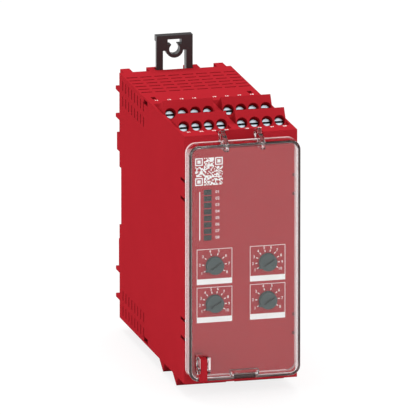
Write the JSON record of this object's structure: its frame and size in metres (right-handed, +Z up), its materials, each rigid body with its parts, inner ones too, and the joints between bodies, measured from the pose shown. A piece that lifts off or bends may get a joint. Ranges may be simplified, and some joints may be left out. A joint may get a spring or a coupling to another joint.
{
  "type": "safety relay",
  "caption": "Slim rail-mounted safety relay module with plug-in screw terminal blocks, rotary selectors under a hinged clear cover and a sprung rail latch.",
  "frame": {"origin": "centre of the 35 mm rail seat, on the rear plane that the rail's brims rest on, at mid-width", "axes": "+X across the width to the right of someone facing the front, -Y towards that person, +Z up"},
  "size_m": [0.045, 0.1178, 0.1174],
  "materials": {
    "housing_red": "fine spark-eroded texture",
    "clear_cover": "clear polished polycarbonate",
    "latch_black": "satin moulded",
    "spring_steel": "bright",
    "terminal_red": "satin moulded",
    "screw_steel": "zinc plated",
    "contact_brass": "tin plated",
    "header_black": "moulded",
    "knob_grey": "satin moulded",
    "switch_black": "moulded",
    "window_grey": "smoked",
    "lamp_white": "clear resin",
    "board_green": "solder mask",
    "relay_case": "moulded",
    "transformer_core": "laminated, varnished",
    "can_aluminium": "drawn"
  },
  "bodies": {
    "housing": {"rear_housing": "housing_red", "front_housing": "housing_red", "latch_spring": "spring_steel", "pin_header_top_rear_left": "header_black", "pin_header_top_rear_right": "header_black", "pin_header_top_front_left": "header_black", "pin_header_top_front_right": "header_black", "pin_header_bottom_rear_left": "header_black", "pin_header_bottom_rear_right": "header_black", "pin_header_bottom_front_left": "header_black", "pin_header_bottom_front_right": "header_black", "selector_switch_upper_left": "switch_black", "selector_switch_upper_right": "switch_black", "selector_switch_lower_left": "switch_black", "selector_switch_lower_right": "switch_black", "status_windows": "window_grey", "status_leds": "lamp_white", "front_board": "board_green", "main_board": "board_green", "relay_board": "board_green", "board_connector": "header_black", "safety_relay_upper_rear": "relay_case", "safety_relay_lower_rear": "relay_case", "safety_relay_upper_front": "relay_case", "safety_relay_lower_front": "relay_case", "transformer": "transformer_core", "capacitors": "can_aluminium"},
    "cover": {"clear_cover": "clear_cover"},
    "latch": {"rail_latch": "latch_black"},
    "block_top_rear_left": {"terminal_block_top_rear_left": "terminal_red", "terminal_screws_top_rear_left": "screw_steel", "clamp_cages_top_rear_left": "contact_brass"},
    "block_top_rear_right": {"terminal_block_top_rear_right": "terminal_red", "terminal_screws_top_rear_right": "screw_steel", "clamp_cages_top_rear_right": "contact_brass"},
    "block_top_front_left": {"terminal_block_top_front_left": "terminal_red", "terminal_screws_top_front_left": "screw_steel", "clamp_cages_top_front_left": "contact_brass"},
    "block_top_front_right": {"terminal_block_top_front_right": "terminal_red", "terminal_screws_top_front_right": "screw_steel", "clamp_cages_top_front_right": "contact_brass"},
    "block_bottom_rear_left": {"terminal_block_bottom_rear_left": "terminal_red", "terminal_screws_bottom_rear_left": "screw_steel", "clamp_cages_bottom_rear_left": "contact_brass"},
    "block_bottom_rear_right": {"terminal_block_bottom_rear_right": "terminal_red", "terminal_screws_bottom_rear_right": "screw_steel", "clamp_cages_bottom_rear_right": "contact_brass"},
    "block_bottom_front_left": {"terminal_block_bottom_front_left": "terminal_red", "terminal_screws_bottom_front_left": "screw_steel", "clamp_cages_bottom_front_left": "contact_brass"},
    "block_bottom_front_right": {"terminal_block_bottom_front_right": "terminal_red", "terminal_screws_bottom_front_right": "screw_steel", "clamp_cages_bottom_front_right": "contact_brass"},
    "knob_upper_left": {"selector_knob_upper_left": "knob_grey"},
    "knob_upper_right": {"selector_knob_upper_right": "knob_grey"},
    "knob_lower_left": {"selector_knob_lower_left": "knob_grey"},
    "knob_lower_right": {"selector_knob_lower_right": "knob_grey"}
  },
  "joints": [
    {"name": "cover_hinge", "type": "hinge", "parent": "housing", "child": "cover", "pos_m": [0, -0.1, 0.0484], "axis": [-1, 0, 0], "range_deg": [0, 100]},
    {"name": "latch_slide", "type": "slide", "parent": "housing", "child": "latch", "axis": [0, 0, 1], "range_m": [0, 0.004], "stiffness_N_per_m": 800, "springref_m": -0.003, "deforming": ["latch_spring"]},
    {"name": "plug_top_rear_left", "type": "slide", "parent": "housing", "child": "block_top_rear_left", "axis": [0, -0.848, 0.5299], "range_m": [0, 0.008]},
    {"name": "plug_top_rear_right", "type": "slide", "parent": "housing", "child": "block_top_rear_right", "axis": [0, -0.848, 0.5299], "range_m": [0, 0.008]},
    {"name": "plug_top_front_left", "type": "slide", "parent": "housing", "child": "block_top_front_left", "axis": [0, -0.848, 0.5299], "range_m": [0, 0.008]},
    {"name": "plug_top_front_right", "type": "slide", "parent": "housing", "child": "block_top_front_right", "axis": [0, -0.848, 0.5299], "range_m": [0, 0.008]},
    {"name": "plug_bottom_rear_left", "type": "slide", "parent": "housing", "child": "block_bottom_rear_left", "axis": [0, -0.848, -0.5299], "range_m": [0, 0.008]},
    {"name": "plug_bottom_rear_right", "type": "slide", "parent": "housing", "child": "block_bottom_rear_right", "axis": [0, -0.848, -0.5299], "range_m": [0, 0.008]},
    {"name": "plug_bottom_front_left", "type": "slide", "parent": "housing", "child": "block_bottom_front_left", "axis": [0, -0.848, -0.5299], "range_m": [0, 0.008]},
    {"name": "plug_bottom_front_right", "type": "slide", "parent": "housing", "child": "block_bottom_front_right", "axis": [0, -0.848, -0.5299], "range_m": [0, 0.008]},
    {"name": "turn_upper_left", "type": "hinge", "parent": "housing", "child": "knob_upper_left", "pos_m": [-0.0106, -0.1024, -0.0025], "axis": [0, 1, 0], "range_deg": [0, 242]},
    {"name": "turn_upper_right", "type": "hinge", "parent": "housing", "child": "knob_upper_right", "pos_m": [0.0106, -0.1024, -0.0025], "axis": [0, 1, 0], "range_deg": [0, 242]},
    {"name": "turn_lower_left", "type": "hinge", "parent": "housing", "child": "knob_lower_left", "pos_m": [-0.0106, -0.1024, -0.01775], "axis": [0, 1, 0], "range_deg": [0, 242]},
    {"name": "turn_lower_right", "type": "hinge", "parent": "housing", "child": "knob_lower_right", "pos_m": [0.0106, -0.1024, -0.01775], "axis": [0, 1, 0], "range_deg": [0, 242]}
  ]
}
